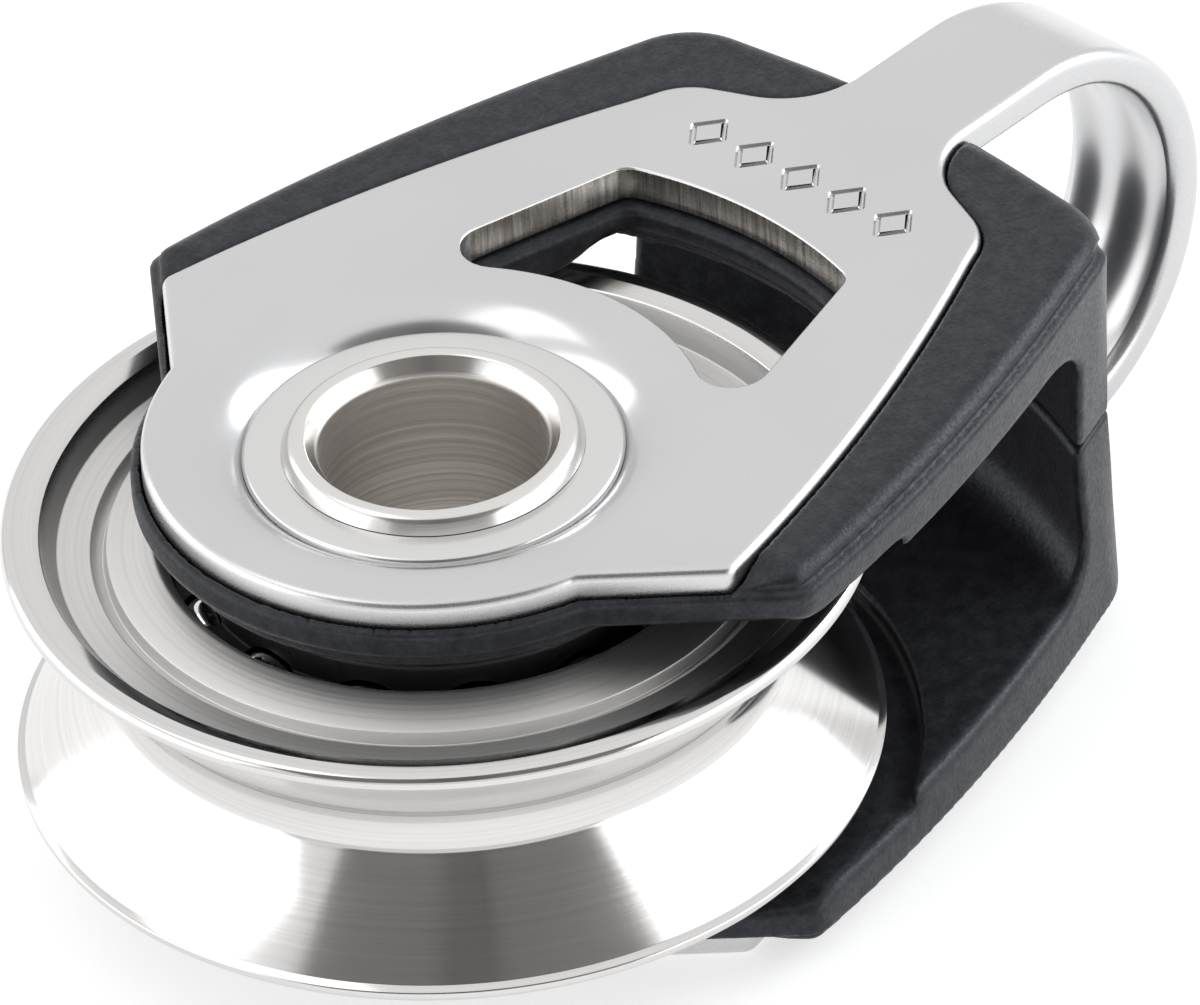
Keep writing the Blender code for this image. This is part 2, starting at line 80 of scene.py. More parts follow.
# Window in the plate, and the low collar that the moulding has round its own, which fades into the recess.
WINDOW_INNER = 9.4
WINDOW_OUTER = 16.2
WINDOW_HALF_WIDTH = 6.75
WINDOW_TAPER = 0.26
WINDOW_INNER_ROUND = 1.27
WINDOW_OUTER_ROUND = 0.8
WINDOW_EDGE_ROUND = 0.1
CHEEK_WINDOW_INSET = 0.5
COLLAR_WIDTH = 0.9
COLLAR_FACE = 5.25
COLLAR_RADIUS = 13.4
COLLAR_FADE = 1.6
COLLAR_ROUND = 0.1
CHEEK_WINDOW_ROUND = 0.4

# Dish round the axle.
DISH_OUTER = 9.1
DISH_INNER = 6.5
DISH_FLOOR = 7.24
DISH_CURVE = 2.8
DISH_STEPS = 18
DISH_UNDER_SHIFT = 0.1
AXLE_HOLE = 5.0

# Engraved lozenges across the neck end of each plate.
LOZENGE_X = 18.65
LOZENGE_REACH = 1.05
LOZENGE_HALF_WIDTH = 0.85
LOZENGE_PITCH = 2.15
LOZENGE_COUNT = 5
LOZENGE_CORNER = 0.15
GROOVE_SECTION = [(0, 0), (0.07, 0.1), (0.17, 0.1), (0.24, 0)]  # (inset, depth)

# Cheeks.
CHEEK_TOP = 8.0
CHEEK_TOP_ROUND = 1.0
CHEEK_SHOULDER_LINE = 7.3
CHEEK_STEP = 0.16
CHEEK_STEP_RUN = 0.14
CHEEK_COVE = 0.16
CHEEK_COVE_PLACE = 0.1
CHEEK_COVE_REACH = 0.11
CHEEK_PANEL_END_X = 23.5
CHEEK_PANEL_ROUND = 0.8
CHEEK_TAIL_TOP = 7.45
CHEEK_TAIL_ROUND = 0.12
CHEEK_TAIL_END_X = 0.6
CHEEK_TAIL_RISE = 1.8
CHEEK_WAIST_INSET = 0.6
CHEEK_SIDE_START = (3.3, 15.2)
CHEEK_SIDE_SLOPE = 0.116
CHEEK_SIDE_CURVE = 0.00654
CHEEK_SIDE_END_X = 20.85
CHEEK_SHOULDER = (1.9, 15.35)
CHEEK_SHOULDER_RADIUS = 1.0
CHEEK_TAIL_RADIUS = 10.35
CHEEK_FACE = 5.2
CHEEK_EDGE_ROUND = 0.42
CHEEK_VOXEL = np.array((0.14, 0.14, 0.1))
CHEEK_SMOOTH_ANGLE = math.radians(70)
SEAM_GAP = 0.06
SEAM_ROUND = 0.16
FIT_GAP = 0.08
POCKET_ROUND = 0.05
POCKET_EDGE_ROUND = 0.08
RECESS_RADIUS = 16.2
RECESS_ROUND = 0.15
RECESS_FLOOR = 5.8
TAIL_RECESS_FLOOR = 6.15
TAIL_RECESS_RUN = 2
BOSS_RADIUS = 9.75
BOSS_FACE = 5.5
BOSS_ROUND = 0.1
CHEEK_HUB_HOLE = 9.0
CHEEK_HUB_ROUND = 0.1
HEAD_X = 25.05
HEAD_CURVE = 0.0123
HEAD_EDGE_Y = 6.0
HEAD_CORNER = (24.1, 10.07)
HEAD_CORNER_RADIUS = 3.4
HEAD_WAIST_CORNER_RADIUS = 1.2
HEAD_INNER_RADIUS = 23.3
HEAD_FILLET = 1.8

# Sheave: its upper half as rows of (radius, height, round), from the bore outwards and down the groove.
SHEAVE_RADIUS = 15.0
SHEAVE_FACE = 4.8
BORE_RADIUS = 9.4
BORE_EDGE = [(BORE_RADIUS, 3.75, 0), (BORE_RADIUS, 4.1, 0)]
HUB_RING = [(9.75, 4.52, 0.2), (11.38, 3.98, 0.06)]
HUB_GROOVE = [(11.5, 3.5, 0.05)]
FACE_FLOOR = [(11.95, 3.83, 0.12), (13.1, 3.83, 0.12)]
RIM_TOP = [(13.65, 4.62, 0.15), (14.25, SHEAVE_FACE, 0.15)]
RIM_EDGE = [(SHEAVE_RADIUS, SHEAVE_FACE, 0.34), (SHEAVE_RADIUS, 4.35, 0.1)]
ROPE_FLANK = [(14.72, 4.2, 0.1), (11.86, 0.83, 0)]
ROPE_BED = [(11.78, 0.66, 0), (11.73, 0.4, 0), (11.705, 0.15, 0)]

# Bearing.
BALL_RADIUS = 1.35
BALL_COUNT = 14
BALL_PITCH_RADIUS = 8.375
BALL_ROW = 2.2
TRACK_CLEARANCE = 0.06
RACE_RADIUS = 7.35
RACE_END = 5.75
RACE_SHOULDER = 4.7
RACE_END_RADIUS = 6.4
RACE_ROUND = 0.1
RACE_STEPS = 160
CAGE_INNER = 7.45
CAGE_OUTER = 9.3
CAGE_FACE = 4.5
CAGE_RING_OUTER = 8.35
CAGE_STEP_FACE = 3.3
CAGE_TIP = 1.25
CAGE_ROUND = 0.1
CAGE_RING_ROUND = 0.25
CAGE_OUTER_ROUND = 0.15
CAGE_STEPS = 168
POCKET_RADIUS = 1.5

# Axle and washers.
AXLE_BORE = 3.95
AXLE_RADIUS = 4.9
LIP_RADIUS = 5.2
LIP_SHOULDER = 4.9
LIP_TOP = 8.15
LIP_UNDERSIDE = 7.59
LIP_ROUND = 0.42
FLARE_DEPTH = 0.62
FLARE_RADIUS = 4.42
FLARE_FOOT_ROUND = 0.25
FLARE_TOP_ROUND = 0.22
WASHER_OUTER = 6.55
WASHER_THICKNESS = 0.3
WASHER_GAP = 0.03
WASHER_ROUND = 0.04
WASHER_TOP_ROUND = 0.2
AXLE_STEPS = 192

# Meshes. Steps are how many segments stand for a curve.
SHEAVE_STEPS = 256
DISH_TURN_STEPS = 192
TRACK_STEPS = 10
PLATE_SIDE_STEPS = 36
PLATE_TAIL_STEPS = 48
CHEEK_SIDE_STEPS = 30
CHEEK_TAIL_STEPS = 40
CORNER_STEPS = 16
HUMP_STEPS = 10
SHOULDER_STEPS = 8
LIP_STEPS = 8
WINDOW_ARC_STEPS = 12
WINDOW_CORNER_STEPS = 10
SMOOTH_ANGLE = math.radians(32)
EDGE_SUPPORT = 0.05
MITRE_LIMIT = 0.4
MERGE_GAP = 0.002

# Finishes. Noise scales are per metre and bump depths in metres. A pair is where a change starts and ends.
NOISE_RANGE = (0.3, 0.7)
STRAP_COLOUR = (0.63, 0.63, 0.635)
STRAP_DULL = (0.62, 0.62, 0.625)
STRAP_BRIGHT = (0.64, 0.64, 0.645)
STRAP_CLOUD = 120
STRAP_GRAIN = 13000
# Sheared window walls: real shear streaks between two tones, the dark brown one a painted reflection of the
# dim surroundings that the walls face.
SHEARED_DARK_REFLECTION = (0.3, 0.275, 0.25)
SHEARED_LIGHT = (0.72, 0.69, 0.65)
SHEARED_STREAKS = 6500
SHEARED_STRETCH = (1, 1, 0.05)
SHEARED_PAST_ARCS = 0.3
SHEARED_PAST_SIDES = 0.8
SHEARED_BUMP = 4.0
EYE_POLISH = (PLATE_UNDERSIDE + 0.05, PLATE_UNDERSIDE + 0.3)
EYE_ROUGHNESS = 0.27
DISH_POLISH = (8.2, DISH_OUTER + 0.2)
DISH_ROUGHNESS = 0.2
CHEEK_DARK = (0.013, 0.0134, 0.0158)
CHEEK_LIGHT = (0.033, 0.0342, 0.0395)
CHEEK_SPARK = 6200
CHEEK_MOTTLE = 1500
STEEL = (0.72, 0.71, 0.69)
# Bore tones: boring marks drawn between these, lifted above the steel's own tone as painted light for the
# light that falls into the bore.
BORE_DARK = (0.6, 0.57, 0.54)
BORE_MARKS_AND_PAINTED_LIGHT = (0.95, 0.93, 0.9)
BORE_MARKS = 4200
BORE_LEAN = 0.35
BORE_FADE = (AXLE_BORE + 0.02, AXLE_BORE + 0.12)
SHEAVE_DARK = (0.62, 0.61, 0.6)
SHEAVE_LIGHT = (0.72, 0.71, 0.7)
LATHED_RADII = (13.4, 13.7)
LATHED_HEIGHTS = (3.2, 3.4)
LATHED_ROUGHNESS = 0.44
LATHE_LINES = 5200
POLISHED_BUMP_SHARE = 0.08
FINE_BUMP = 0.00001
BUMP = 0.00003

# Studio, in metres, degrees and watts, placed round the axle's centre.
WHITE = (1, 1, 1)
SKY_LEVELS = [(0.0, 0.85), (0.35, 0.95), (0.62, 0.98), (1.0, 1.0)]
FLOOR_REACH = 3
FLOOR_DROP = 0.0001
PAPER_GLOW = 0.62
PAPER_DARK = (0.49, 0.49, 0.49)
PAPER_LIGHT = (0.52, 0.52, 0.52)
LIGHTS = [  # (name, azimuth, elevation, distance, size, power, colour)
    ("key_box", 140, 64, 0.9, (0.6, 0.4), 0.6, WHITE),
    ("left_box", 133, 18, 0.8, (1.3, 0.6), 2.9, WHITE),
    ("right_box", -52, 22, 0.85, (1.4, 0.6), 3.4, WHITE),
    ("edge_box", -20, 30, 0.8, (0.36, 0.3), 1.6, (0.84, 0.92, 1.0)),
]
CARDS = [  # (name, azimuth, elevation, distance, size, colour)
    ("dark_card", -131, 45, 0.75, (1.14, 0.67), (0.15, 0.141, 0.134)),
    ("lens_card", -133.5, 45, 0.72, (0.1, 0.6), (0.105, 0.099, 0.094)),
]
CAMERA_AZIMUTH = -135.232
CAMERA_ELEVATION = 36.874
CAMERA_ROLL = math.radians(-3.433)
CAMERA_DISTANCE = 0.5484
CAMERA_RIGHT = 0.005541
CAMERA_UP = 0.003743
SENSOR_MM = 36
LENS_MM = 480


# ---------------------------------------------------------------- outlines (millimetres)


def polar(radius, degrees):
    angle = math.radians(degrees)
    return (radius * math.cos(angle), radius * math.sin(angle))


def arc(radius, start, end, steps):
    return [polar(radius, start + (end - start) * i / steps) for i in range(steps + 1)]


def line(first, last, steps):
    """Points between two points, without the two."""
    return [tuple(Vector(first).lerp(Vector(last), i / steps)) for i in range(1, steps)]


def fillet(before, corner, after, radius, steps):
    """Points of the round that replaces a corner."""
    a = (Vector(before) - Vector(corner)).normalized()
    b = (Vector(after) - Vector(corner)).normalized()
    half = a.angle(b) / 2
    reach = radius / math.tan(half)
    centre = Vector(corner) + (a + b).normalized() * radius / math.sin(half)
    first = Vector(corner) + a * reach - centre
    last = Vector(corner) + b * reach - centre
    turn = math.atan2(first.x * last.y - first.y * last.x, first.dot(last))
    return [tuple(centre + Matrix.Rotation(turn * i / steps, 2) @ first) for i in range(steps + 1)]


def with_mirror(half):
    """An outline from its +Y half, which runs from the eye end round to the tail."""
    return half + [(x, -y) for x, y in reversed(half) if abs(y) > 1e-6]


def plate_side(x):
    """How far the plate's side is from the middle."""
    run = x - SHOULDER[0]
    return SHOULDER[1] - SIDE_SLOPE * run - SIDE_CURVE * run * run


def plate_outline():
    """The strap plate's outline, open at the eye, from its +Y corner there round to its -Y corner."""
    neck = (EYE_CENTRE_X, NECK_HALF_WIDTH)
    neck_corner = (NECK_CORNER_X, NECK_HALF_WIDTH)
    last_side = HUMP[0] - HUMP_RUN
    bend = fillet(neck, neck_corner, HUMP, NECK_RADIUS, CORNER_STEPS)
    half = [neck] + line(neck, bend[0], 6) + bend
    hump = fillet(neck_corner, HUMP, (last_side, plate_side(last_side)), HUMP_RADIUS, HUMP_STEPS)
    half += line(half[-1], hump[0], 3) + hump
    for i in range(PLATE_SIDE_STEPS):
        x = last_side + (SHOULDER[0] + SHOULDER_RUN - last_side) * i / (PLATE_SIDE_STEPS - 1)
        half.append((x, plate_side(x)))
    kink = polar(TAIL_RADIUS, TAIL_ANGLE)
    half += fillet(half[-1], SHOULDER, kink, SHOULDER_RADIUS, SHOULDER_STEPS)
    half += line(half[-1], kink, 12)
    half += arc(TAIL_RADIUS, TAIL_ANGLE, 180, PLATE_TAIL_STEPS)
    return with_mirror(half)


def cheek_side(x):
    """How far the moulding's side is from the middle."""
    run = x - CHEEK_SIDE_START[0]
    return CHEEK_SIDE_START[1] - CHEEK_SIDE_SLOPE * run - CHEEK_SIDE_CURVE * run * run


def head_edge(y):
    """A point of the head's slightly bowed end."""
    return (HEAD_X - HEAD_CURVE * y * y, y)


def cheek_outline(inset, corner_radius):
    """The moulding's outline with its sides moved in by inset."""
    side_end = (CHEEK_SIDE_END_X, cheek_side(CHEEK_SIDE_END_X) - inset)
    corner = (HEAD_CORNER[0], HEAD_CORNER[1] - inset)
    shoulder = (CHEEK_SHOULDER[0], CHEEK_SHOULDER[1] - inset)
    half = [head_edge(HEAD_EDGE_Y * i / 6) for i in range(6)]
    half += fillet(head_edge(HEAD_EDGE_Y), corner, side_end, corner_radius, CORNER_STEPS)
    first_side = CHEEK_SHOULDER[0] + SHOULDER_RUN
    for i in range(CHEEK_SIDE_STEPS):
        x = CHEEK_SIDE_END_X + (first_side - CHEEK_SIDE_END_X) * i / (CHEEK_SIDE_STEPS - 1)
        half.append((x, cheek_side(x) - inset))
    kink = polar(CHEEK_TAIL_RADIUS, TAIL_ANGLE)
    half += fillet(half[-1], shoulder, kink, CHEEK_SHOULDER_RADIUS, SHOULDER_STEPS)
    half += arc(CHEEK_TAIL_RADIUS, TAIL_ANGLE, 180, CHEEK_TAIL_STEPS)
    return with_mirror(half)


def window_outline(inset):
    """Two arcs about the axle and two sloping sides, with round corners, moved inwards by inset."""
    side_length = math.hypot(1, WINDOW_TAPER)
    side_normal = math.degrees(math.atan2(1, WINDOW_TAPER))

    def room_beside(x, y):
        """How far a point is inside the sloping side."""
        side = WINDOW_HALF_WIDTH - WINDOW_TAPER * (x - WINDOW_INNER)
        return (side - y) / side_length - inset

    def round_angle(centre_radius, corner_radius):
        """The angle at which a corner's round touches the sloping side, found by halving."""
        low, high = 0.0, 80.0
        for _ in range(40):
            middle = (low + high) / 2
            if room_beside(*polar(centre_radius, middle)) > corner_radius:
                low = middle
            else:
                high = middle
        return low

    def corner(centre_radius, centre_angle, radius, start, end):
        centre = polar(centre_radius, centre_angle)
        return [(centre[0] + x, centre[1] + y) for x, y in arc(radius, start, end, WINDOW_CORNER_STEPS)]

    inner = WINDOW_INNER + inset
    outer = WINDOW_OUTER - inset
    outer_round = WINDOW_OUTER_ROUND
    inner_round = WINDOW_INNER_ROUND - inset
    outer_angle = round_angle(outer - outer_round, outer_round)
    inner_angle = round_angle(inner + inner_round, inner_round)
    half = arc(outer, 0, outer_angle, WINDOW_ARC_STEPS)[:-1]
    half += corner(outer - outer_round, outer_angle, outer_round, outer_angle, side_normal)
    first = corner(inner + inner_round, inner_angle, inner_round, side_normal, inner_angle + 180)
    half += line(half[-1], first[0], 10) + first
    half += arc(inner, inner_angle, 0, WINDOW_ARC_STEPS)[1:]
    return with_mirror(half)


def lozenge_outline(middle):
    """One engraved lozenge about Y = middle, run anticlockwise."""
    corners = [
        (LOZENGE_X + LOZENGE_REACH, middle),
        (LOZENGE_X, middle + LOZENGE_HALF_WIDTH),
        (LOZENGE_X - LOZENGE_REACH, middle),
        (LOZENGE_X, middle - LOZENGE_HALF_WIDTH),
    ]
    outline = []
    for i, corner in enumerate(corners):
        outline += fillet(corners[i - 1], corner, corners[(i + 1) % 4], LOZENGE_CORNER, 4)
    return outline


def offset(outline, distance, closed=True):
    """An anticlockwise outline with each point moved out along its corner's normal."""
    moved = []
    count = len(outline)
    for i in range(count):
        here = Vector(outline[i])
        before = Vector(outline[i - 1]) if closed or i > 0 else None
        after = Vector(outline[(i + 1) % count]) if closed or i < count - 1 else None
        a = (here - before).normalized() if before else None
        b = (after - here).normalized() if after else None
        a, b = a or b, b or a
        edge_normal = Vector((a.y, -a.x))
        normal = (edge_normal + Vector((b.y, -b.x))).normalized()
        moved.append(tuple(here + normal * distance / max(MITRE_LIMIT, normal.dot(edge_normal))))
    return moved


# ---------------------------------------------------------------- mesh tools


def vertices(shape, points):
    return [shape.verts.new(Vector(point) * MM) for point in points]


def bridge(shape, first, second, closed=True):
    """Faces between two rows of vertices."""
    count = len(first)
    for i in range(count if closed else count - 1):
        j = (i + 1) % count
        shape.faces.new((first[i], first[j], second[j], second[i]))


def edges_of(shape, row):
    """The edges round a row of vertices, made where they are missing."""
    return [shape.edges.get(pair) or shape.edges.new(pair) for pair in zip(row, row[1:] + row[:1])]


def cap(shape, rows):
    """A flat face inside the first row and outside the others."""
    edges = [edge for row in rows for edge in edges_of(shape, row)]
    bmesh.ops.triangle_fill(shape, use_beauty=True, edges=edges, normal=(0, 0, 1))


def edge_section(top, bottom, radius, steps=5):
    """(inset, height) pairs down a rounded edge, from the flat above it to the flat below it."""
    section = [(radius + EDGE_SUPPORT, top)]
    for i in range(steps + 1):
        a = math.radians(90 * i / steps)
        section.append((radius * (1 - math.sin(a)), top - radius * (1 - math.cos(a))))
    for i in range(steps + 1):
        a = math.radians(90 * i / steps)
        section.append((radius * (1 - math.cos(a)), bottom + radius * (1 - math.sin(a))))
    section.append((radius + EDGE_SUPPORT, bottom))
    return section


def edge_rows(shape, outline, section, inwards, closed=True):
    """Rows that carry the section round an outline; inwards is 1 for an outside edge and -1 for a hole."""
    rows = []
    for inset, height in section:
        moved = offset(outline, -inset * inwards, closed)
        rows.append(vertices(shape, [(x, y, height) for x, y in moved]))
    for first, second in zip(rows, rows[1:]):
        bridge(shape, first, second, closed)
    return rows


def rounded(profile, steps=5):
    """A closed profile of (radius, height, round) with each corner replaced by its round."""
    points = []
    for i, (x, z, radius) in enumerate(profile):
        if radius:
            before = profile[i - 1][:2]
            after = profile[(i + 1) % len(profile)][:2]
            points += fillet(before, (x, z), after, radius, steps)
        else:
            points.append((x, z))
    return points


def turned(profile, steps):
    """A closed profile of (radius, height) turned about the axle."""
    shape = bmesh.new()
    rows = []
    for i in range(steps):
        a = math.tau * i / steps
        rows.append(vertices(shape, [(r * math.cos(a), r * math.sin(a), z) for r, z in profile]))
    for first, second in zip(rows, rows[1:] + rows[:1]):
        bridge(shape, first, second)
    return shape


def finished(name, shape, finish, body, nodes):
    """An object made of the shape, riding on a body in place of CAD nodes."""
    if shape.faces:
        bmesh.ops.recalc_face_normals(shape, faces=shape.faces)
    mesh = bpy.data.meshes.new(name)
    shape.to_mesh(mesh)
    shape.free()
    return placed(name, mesh, finish, body, nodes)


def placed(name, mesh, finish, body, nodes, smooth_angle=SMOOTH_ANGLE):
    """The same, from a mesh."""
    made = bpy.data.objects.new(name, mesh)
    bpy.context.scene.collection.objects.link(made)
    made.location = AXLE
    mesh.materials.clear()
    mesh.materials.append(finish)
    mesh.shade_smooth()
    mesh.set_sharp_from_angle(angle=smooth_angle)
    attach(made, body)
    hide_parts(*nodes)
    return made


# ---------------------------------------------------------------- finishes


class Finish:
    """A Principled material and short ways to add its nodes."""

    def __init__(self, name, colour, roughness, metallic):
        self.material = bpy.data.materials.new(name)
        self.material.use_nodes = True
        self.tree = self.material.node_tree
        self.shader = self.tree.nodes["Principled BSDF"]
        self.shader.inputs["Base Color"].default_value = (*colour, 1)
        self.shader.inputs["Roughness"].default_value = roughness
        self.shader.inputs["Metallic"].default_value = metallic
        self.place = self.node("ShaderNodeTexCoord").outputs["Object"]

    def node(self, kind, **settings):
        made = self.tree.nodes.new(kind)
        for key, value in settings.items():
            setattr(made, key, value)
        return made

    def feed(self, socket, value):
        if isinstance(value, bpy.types.NodeSocket):
            self.tree.links.new(value, socket)
        else:
            socket.default_value = value

    def maths(self, operation, *values):
        made = self.node("ShaderNodeMath", operation=operation)
        for socket, value in zip(made.inputs, values):
            self.feed(socket, value)
        return made.outputs[0]

    def length(self, first, second):
        """The length of a pair at right angles."""
        squares = [self.maths("MULTIPLY", value, value) for value in (first, second)]
        return self.maths("SQRT", self.maths("ADD", *squares))

    def parts(self, vector):
        """The X, Y and Z of a vector."""
        made = self.node("ShaderNodeSeparateXYZ")
        self.feed(made.inputs[0], vector)
        return [made.outputs[axis] for axis in "XYZ"]

    def stretched(self, scale):
        made = self.node("ShaderNodeMapping")
        self.feed(made.inputs["Vector"], self.place)
        made.inputs["Scale"].default_value = scale
        return made.outputs[0]

    def noise(self, where, scale, detail=3.0, roughness=0.5):
        made = self.node("ShaderNodeTexNoise")
        self.feed(made.inputs["Vector"], where)
        made.inputs["Scale"].default_value = scale
        made.inputs["Detail"].default_value = detail
        made.inputs["Roughness"].default_value = roughness
        return made.outputs["Fac"]

    def spread(self, value, low, high, new_low, new_high):
        made = self.node("ShaderNodeMapRange")
        for socket, number in zip(made.inputs, (value, low, high, new_low, new_high)):
            self.feed(socket, number)
        return made.outputs[0]

    def fading(self, place, span):
        """1 before a (start, end) span of millimetres and 0 after it."""
        start, end = span
        return self.spread(place, start * MM, end * MM, 1.0, 0.0)

    def mixed(self, share, first, second):
        """A colour between two, which may be sockets."""
        made = self.node("ShaderNodeMix", data_type="RGBA")
        self.feed(made.inputs["Factor"], share)
        for name, colour in (("A", first), ("B", second)):
            self.feed(made.inputs[name], colour if isinstance(colour, bpy.types.NodeSocket) else (*colour, 1))
        return made.outputs["Result"]

    def blended(self, share, first, second):
        """A number between two, which may be sockets."""
        made = self.node("ShaderNodeMix", data_type="FLOAT")
        self.feed(made.inputs["Factor"], share)
        self.feed(made.inputs["A"], first)
        self.feed(made.inputs["B"], second)
        return made.outputs["Result"]

    def bump(self, height, strength, distance):
        made = self.node("ShaderNodeBump")
        made.inputs["Strength"].default_value = strength
        made.inputs["Distance"].default_value = distance
        self.feed(made.inputs["Height"], height)
        self.feed(self.shader.inputs["Normal"], made.outputs[0])

    def flatness(self):
        """1 where the surface faces along the axle and 0 where it faces across it."""
        normal = self.node("ShaderNodeTexCoord").outputs["Normal"]
        return self.maths("ABSOLUTE", self.parts(normal)[2])

    def about_axle(self):
        """(coordinate, radius, height), all the same all the way round the axle."""
        x, y, height = self.parts(self.place)
        radius = self.length(x, y)
        joined = self.node("ShaderNodeCombineXYZ")
        self.feed(joined.inputs["X"], radius)
        self.feed(joined.inputs["Y"], height)
        return joined.outputs[0], radius, height


def strap_finish():
    """Satin stainless sheet, polished in the dish and the eye; the window's sheared walls carry real shear
    streaks in a dark brown that is a painted reflection of dim surroundings.
    """
    made = Finish("strap_satin", STRAP_COLOUR, 0.3, 1.0)
    x, y, z = made.parts(made.place)
    window_middle = (WINDOW_INNER + WINDOW_OUTER) / 2 * MM
    window_reach = (WINDOW_OUTER - WINDOW_INNER) / 2 * MM
    beside = made.maths(
        "MULTIPLY",
        made.maths("COMPARE", x, window_middle, window_reach + SHEARED_PAST_ARCS * MM),
        made.maths("COMPARE", y, 0.0, (WINDOW_HALF_WIDTH + SHEARED_PAST_SIDES) * MM),
    )
    upright = made.spread(made.flatness(), 0.15, 0.6, 1.0, 0.0)
    sheared = made.maths("MULTIPLY", beside, upright)
    streaks = made.noise(made.stretched(SHEARED_STRETCH), SHEARED_STREAKS, 3.0, 0.65)
    # Painted reflection: the dark brown of the window walls stands for the dim surroundings mirrored there;
    # the streaks themselves are shear marks.
    torn_and_reflected = made.mixed(made.spread(streaks, 0.35, 0.68, 0, 1), SHEARED_DARK_REFLECTION, SHEARED_LIGHT)
    cloud = made.noise(made.place, STRAP_CLOUD, 2.0)
    face = made.mixed(made.spread(cloud, 0.35, 0.65, 0, 1), STRAP_DULL, STRAP_BRIGHT)
    made.feed(made.shader.inputs["Base Color"], made.mixed(sheared, face, torn_and_reflected))

    reach = made.length(made.maths("SUBTRACT", x, EYE_CENTRE_X * MM), z)
    inside = made.fading(reach, EYE_POLISH)
    grain = made.noise(made.place, STRAP_GRAIN, 2.0, 0.6)
    radius = made.about_axle()[1]
    pressed = made.fading(radius, DISH_POLISH)
    satin = made.blended(pressed, made.spread(grain, *NOISE_RANGE, 0.26, 0.32), DISH_ROUGHNESS)
    made.feed(made.shader.inputs["Roughness"], made.blended(inside, satin, EYE_ROUGHNESS))
    tears = made.maths("MULTIPLY", made.maths("MULTIPLY", streaks, sheared), SHEARED_BUMP)
    made.bump(made.maths("ADD", grain, tears), 0.03, FINE_BUMP)
    return made.material


def plastic_finish():
    """Black moulded nylon with a fine spark texture."""
    made = Finish("cheek_spark_black", (0.02, 0.02, 0.022), 0.5, 0.0)
    spark = made.noise(made.place, CHEEK_SPARK, 2.0, 0.65)
    mottle = made.noise(made.place, CHEEK_MOTTLE, 2.0)
    tone = made.spread(made.maths("MULTIPLY", spark, mottle), 0.14, 0.42, 0, 1)
    made.feed(made.shader.inputs["Base Color"], made.mixed(tone, CHEEK_DARK, CHEEK_LIGHT))
    made.feed(made.shader.inputs["Roughness"], made.spread(spark, *NOISE_RANGE, 0.42, 0.28))
    made.shader.inputs["Specular IOR Level"].default_value = 0.27
    # Painted bluish sheen: the specular tint colours the nylon's reflections blue, standing for a bluish
    # light.
    made.shader.inputs["Specular Tint"].default_value = (0.88, 0.93, 1.0, 1)
    made.bump(spark, 0.6, BUMP)
    return made.material


def turned_finish(name, colour, roughness, lines):
    """Polished steel with fine lines round the axle."""
    made = Finish(name, colour, roughness, 1.0)
    where = made.about_axle()[0]
    rings = made.noise(where, LATHE_LINES, 4.0, 0.65)
    broad = made.noise(where, 900, 2.0)
    blotch = made.noise(made.place, 350, 3.0)
    smear = made.spread(blotch, *NOISE_RANGE, roughness * 0.75, roughness * 1.35)
    made.feed(made.shader.inputs["Roughness"], smear)
    made.bump(made.maths("ADD", rings, made.maths("MULTIPLY", broad, 0.6)), lines, BUMP)
    return made.material


def axle_finish():
    """A polished lip, and a bore with the marks of the boring tool, its tone lifted above the steel's own as
    painted light falling into the bore.
    """
    made = Finish("axle_turned", STEEL, 0.14, 1.0)
    where, radius = made.about_axle()[:2]
    bore = made.fading(radius, BORE_FADE)
    tilt = made.maths("MULTIPLY", made.noise(made.place, 160, 2.0), BORE_LEAN)
    lean = made.node("ShaderNodeCombineXYZ")
    made.feed(lean.inputs["Y"], made.maths("MULTIPLY", tilt, MM))
    leaning = made.node("ShaderNodeVectorMath", operation="ADD")
    made.feed(leaning.inputs[0], where)
    made.feed(leaning.inputs[1], lean.outputs[0])
    marks = made.noise(leaning.outputs[0], BORE_MARKS, 5.0, 0.75)
    # Painted light: the bore's marked tone is lighter than the steel's, standing for light falling into the
    # bore; the marks are tool marks.
    marks_and_painted_light = made.mixed(made.spread(marks, 0.42, 0.66, 0, 1), BORE_DARK, BORE_MARKS_AND_PAINTED_LIGHT)
    made.feed(made.shader.inputs["Base Color"], made.mixed(bore, STEEL, marks_and_painted_light))
    rough = made.spread(marks, 0.4, 0.7, 0.5, 0.3)
    made.feed(made.shader.inputs["Roughness"], made.blended(bore, 0.2, rough))
    depth = made.spread(bore, 0.0, 1.0, POLISHED_BUMP_SHARE, 1.0)
    made.bump(made.maths("MULTIPLY", marks, depth), 0.5, BUMP)
    return made.material


def race_finish():
    """Ground steel."""
    return turned_finish("race_ground", (0.55, 0.54, 0.53), 0.25, 0.3)


def ball_finish():
    """Polished steel with faint scuffs."""
    made = Finish("ball_polished", (0.78, 0.78, 0.78), 0.06, 1.0)
    scuff = made.noise(made.place, 2500, 3.0)
    made.feed(made.shader.inputs["Roughness"], made.spread(scuff, *NOISE_RANGE, 0.04, 0.12))
    return made.material


def cage_finish():
    """Black nylon."""
    made = Finish("cage_nylon", (0.018, 0.018, 0.019), 0.45, 0.0)
    grain = made.noise(made.place, 3500, 2.0)
    made.feed(made.shader.inputs["Roughness"], made.spread(grain, *NOISE_RANGE, 0.35, 0.55))
    made.bump(grain, 0.3, BUMP)
    return made.material


# ---------------------------------------------------------------- strap


def dish_profile():
    """(radius, height) down the dish from the plate's top, through the axle hole and back underneath."""
    slope = []
    for i in range(DISH_STEPS + 1):
        t = i / DISH_STEPS
        radius = DISH_OUTER + (DISH_INNER - DISH_OUTER) * t
        slope.append((radius, PLATE_TOP + (DISH_FLOOR - PLATE_TOP) * t**DISH_CURVE))
    top = slope + [(AXLE_HOLE, DISH_FLOOR)]
    under = [(r + DISH_UNDER_SHIFT * (r > AXLE_HOLE), z - PLATE_THICKNESS) for r, z in reversed(top)]
    return top + under


